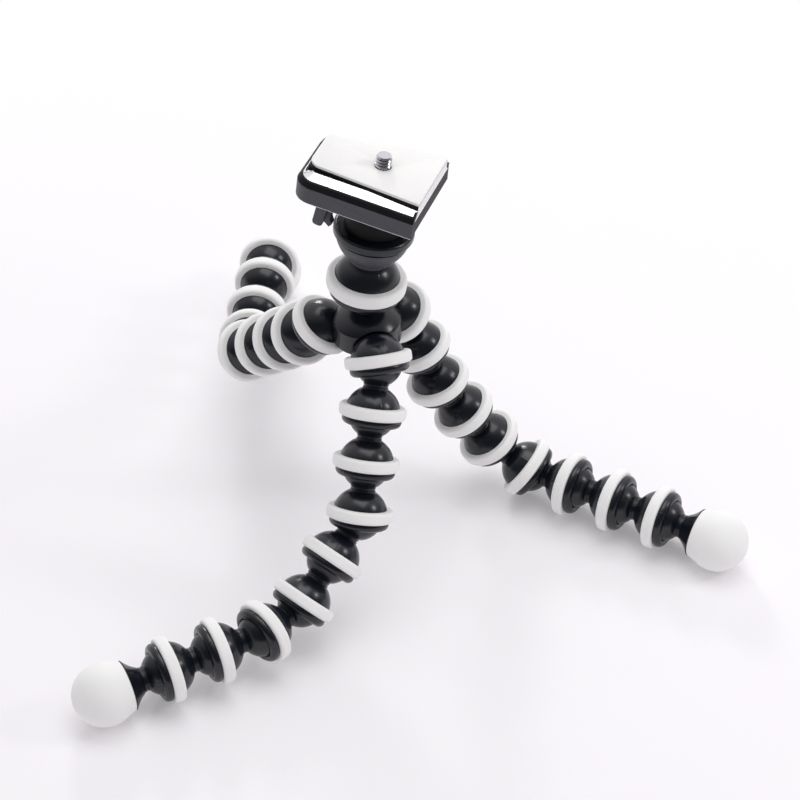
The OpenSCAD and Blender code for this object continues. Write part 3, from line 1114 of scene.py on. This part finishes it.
        # rim indexes the pale finish of painted reflection; black is the plate's black finish.
        rim, black = 1, 2
        work = self.merged("head_base")
        underside, chamfer = self.base_z + 0.05, self.base_z + 0.6
        band, shoulder, mid_slope = (self.base_top - drop for drop in (4.0, 2.0, 1.0))
        line, soft, slope = 0.9, 0.4, []
        low, high = self.SLOPE
        for face in work.faces:
            height, normal = self.height(face.calc_center_median()), self.own(face.normal)
            if height > shoulder and low < normal.z < high:
                slope.append(face)
            elif height > band or height < underside or normal.x > self.END_FACE:
                face.material_index = black
        inset = {"faces": slope, "thickness": line * MM, "use_even_offset": True}
        strip = bmesh.ops.inset_region(work, **inset)["faces"]
        # Painted reflection: the sloping faces of the upper rim take the pale finish for the light
        # mirrored there; the outer part of the inset strip stays black.
        for face in slope:
            face.material_index = rim
        for face in strip:
            outer = self.height(face.calc_center_median()) < mid_slope
            face.material_index = black if outer else rim
        levels = (self.base_z, band, shoulder)
        edges = [found for level in levels for found in self.outer_edges(work, level)]
        mesh = self.softened(work, "head_base", soft, (GREY, PAINTED_REFLECTION, PLATE), edges)
        # Painted highlight: the downward bevel along the lower edge takes the pale
        # painted-reflection finish as a thin bright line.
        low, high = self.CHAMFER
        for face in mesh.polygons:
            slanted = low < self.own(face.normal).z < high
            if slanted and self.height(face.center) < chamfer:
                face.material_index = rim
        add_piece(mesh, "head_base", GREY.slot, "head_base")
        add_piece(self.rounded_lever(), "release_lever", BLACK.slot, "release_lever")

    def rounded_lever(self) -> Mesh:
        """Returns a copy of the lever with the corners of its thumb tab rounded."""
        work = self.merged("release_lever")
        axis = self.place.to_3x3() @ Vector((0.0, 1.0, 0.0))
        shortest, longest, radius = 2.9 * MM, 3.4 * MM, 1.5 * MM
        corners = []
        for edge in work.edges:
            way = (edge.verts[1].co - edge.verts[0].co).normalized().dot(axis)
            fits = shortest < edge.calc_length() < longest
            if abs(way) > 0.99 and fits and edge.calc_face_angle(0.0) > self.SHARP:
                corners.append(edge)
        rounding = {"offset": radius, "segments": 4, "profile": 0.5, "clamp_overlap": False}
        bmesh.ops.bevel(work, geom=corners, affect="EDGES", **rounding)
        # Painted light: the lever is black plastic but takes the lighter satin grey finish for the
        # light on its underside.
        return self.softened(work, "release_lever", 0.3, (GREY,))

    def build_plate(self) -> None:
        """Builds the plate's body and its pad as two pieces; a face is of the solid behind it."""
        whole = self.softened(self.merged("camera_plate"), "camera_plate", 0.18, ())
        split, skin = self.pad_top - self.pad_h, 0.05 * MM
        above = [self.height(face.center - face.normal * skin) > split for face in whole.polygons]
        for name, finish, upper in (("plate_body", PLATE, False), ("plate_pad", PAD, True)):
            mesh = whole.copy()
            mesh.name = name + "_looks"
            work = bmesh.new()
            work.from_mesh(mesh)
            drop = [face for face in work.faces if above[face.index] != upper]
            bmesh.ops.delete(work, geom=drop, context="FACES")
            work.to_mesh(mesh)
            work.free()
            # Painted reflection: the body's open end face takes the pale finish for the light it
            # mirrors at a grazing angle.
            for item in (finish, PAINTED_REFLECTION):
                mesh.materials.append(item.material())
            for face in mesh.polygons:
                end_face = self.own(face.normal).x > self.END_FACE
                face.material_index = int(end_face and not upper)
            add_piece(mesh, "camera_plate", finish.slot, "camera_plate")

    def build_screw(self) -> None:
        """Builds the camera screw with its thread, shank and head."""
        head_r, low, ease = self.screw_r + 2.8, self.base_top - 3.8, 0.3
        top, shank = low + 1.7, self.screw_r - 0.6
        start, end = self.pad_top + 0.3, self.pad_top + self.screw_rise
        made = Outline().to((0.0, low), (head_r - ease, low), (head_r, low + ease))
        made.to((head_r, top), (shank, top), (shank, start), (self.screw_r, start + 0.05))
        made.to(*[(self.screw_r, z) for z in np.linspace(start + 0.1, end - 0.6, 72)])
        made.to((shank, end), (0.0, end))
        thread = {"Thread_Depth": 0.62, "Thread_Pitch": self.pitch}
        thread |= {"Thread_Start": start + 0.15, "Thread_End": end - 0.55}
        mesh = self.lathe.turn("screw_form", made, STEEL, sharp=40.0, Columns=72, **thread)
        mesh = placed(mesh, self.place, "camera_screw_looks")
        add_piece(mesh, "camera_screw", STEEL.slot, "camera_screw")


@dataclass(frozen=True)
class SoftBox:
    """A rectangular lamp, in metres and watts."""

    name: str
    at: Triple
    aim: Triple
    size: Pair
    power: float

    def build(self) -> None:
        """Adds the lamp to the scene, facing its aim."""
        data = bpy.data.lights.new(self.name, "AREA")
        data.shape = "RECTANGLE"
        data.size, data.size_y = self.size
        data.energy = self.power
        lamp = linked(self.name, data)
        lamp.location = self.at
        way = Vector(self.aim) - Vector(self.at)
        lamp.rotation_euler = way.to_track_quat("-Z", "Y").to_euler()


@dataclass
class Studio:
    """White floor, soft boxes and the photograph's camera, whose lengths are millimetres."""

    target: Triple = (-8.313, 0.0, 47.691)
    elevation: float = 39.671
    distance: float = 1100.0
    focal_px: float = 2627.3
    photo_px: float = 800.0
    sensor: float = 36.0
    room: float = 0.57
    lift: float = 0.17
    fade: Pair = (0.20, 0.44)
    air: Triple = (0.985, 0.965, 1.0)
    floor_tones: tuple[Triple, Triple] = ((0.965, 0.94, 0.97), (0.975, 0.95, 0.98))
    lamps: tuple[SoftBox, ...] = (
        SoftBox("overhead", (0.06, 0.10, 0.95), (0.0, 0.0, 0.1), (0.80, 0.60), 3.3),
        SoftBox("behind", (-0.20, 1.10, 0.60), (0.0, 0.0, 0.05), (0.22, 0.18), 3.0),
        SoftBox("right", (0.85, -0.05, 0.62), (0.0, 0.0, 0.1), (0.16, 0.20), 1.3),
    )

    def build(self) -> None:
        """Builds the floor, the world, the lamps and the camera."""
        self.build_floor()
        self.build_world()
        for lamp in self.lamps:
            lamp.build()
        self.build_camera()

    def build_floor(self) -> None:
        """Builds a floor that takes the shadow and goes over to plain white further out."""
        mesh, half = bpy.data.meshes.new("floor"), 4.0
        corners = [(x * half, y * half, 0.0) for x, y in ((-1, -1), (1, -1), (1, 1), (-1, 1))]
        mesh.from_pydata(corners, [], [(0, 1, 2, 3)])
        material = bpy.data.materials.new("floor_white")
        material.use_nodes = True
        graph = Graph(material.node_tree)
        place = graph.node("ShaderNodeTexCoord", out="Object")
        away = graph.node("ShaderNodeVectorMath", {0: place}, "Value", operation="LENGTH")
        fade = graph.smooth(away, *self.fade)
        tone = graph.mix(graph.noise(place, 30.0), *self.floor_tones)
        matte = graph.node("ShaderNodeBsdfDiffuse", {"Color": tone})
        path = graph.node("ShaderNodeLightPath")
        shown = path + path.out("Is Glossy Ray") + path.out("Is Transmission Ray")
        white = graph.node("ShaderNodeEmission", {"Color": (1.0, 1.0, 1.0, 1.0), "Strength": 1.0})
        fade = fade * (1.0 - self.lift) + self.lift
        surface = graph.node("ShaderNodeMixShader", {0: fade * shown, 1: matte, 2: white})
        graph.end("ShaderNodeOutputMaterial", Surface=surface)
        mesh.materials.append(material)
        floor = linked("floor", mesh)

    def build_world(self) -> None:
        """Sets a world that is white to the camera, dimmer as a light, dark in front to gloss."""
        world = bpy.data.worlds.new("studio")
        bpy.context.scene.world = world
        world.use_nodes = True
        graph = Graph(world.node_tree)
        path = graph.node("ShaderNodeLightPath")
        shown = path + path.out("Is Transmission Ray")
        glossy = path.out("Is Glossy Ray")
        sky = graph.node("ShaderNodeTexCoord", out="Generated")
        way = graph.node("ShaderNodeSeparateXYZ", {0: sky})
        back, up, dark, bright = 0.8, 0.6, 0.10, 0.90
        glow = graph.smooth(way.out("Y") * back + way.out("Z") * up, -0.2, 0.9)
        room = self.room * (1.0 - shown - glossy) + glossy * (dark + glow * bright)
        sockets = {"Color": (*self.air, 1.0), "Strength": shown + room}
        light = graph.node("ShaderNodeBackground", sockets)
        graph.end("ShaderNodeOutputWorld", Surface=light)

    def build_camera(self) -> None:
        """Sets the camera at the photograph's angle."""
        data = bpy.data.cameras.new("photo")
        data.lens = self.focal_px / self.photo_px * self.sensor
        data.sensor_width = self.sensor
        data.clip_start, data.clip_end = 0.05, 20.0
        camera = linked("photo", data)
        tilt = radians(self.elevation)
        back = Vector((0.0, -cos(tilt), sin(tilt)))
        camera.location = (Vector(self.target) + back * self.distance) * MM
        camera.rotation_euler = (-back).to_track_quat("-Z", "Y").to_euler()
        bpy.context.scene.camera = camera


def main() -> None:
    """Builds the tripod and its studio."""
    logging.basicConfig(level=logging.INFO, format="%(message)s")
    bpy.context.scene.view_settings.view_transform = "Standard"
    lathe = Lathe()
    legs = [Leg(name, lathe) for name in LEGS]
    forms = legs[0].forms()
    for leg in legs:
        leg.build(forms)
    Hub(lathe).build()
    Head(lathe).build()
    Studio().build()


if __name__ == "__main__":
    main()
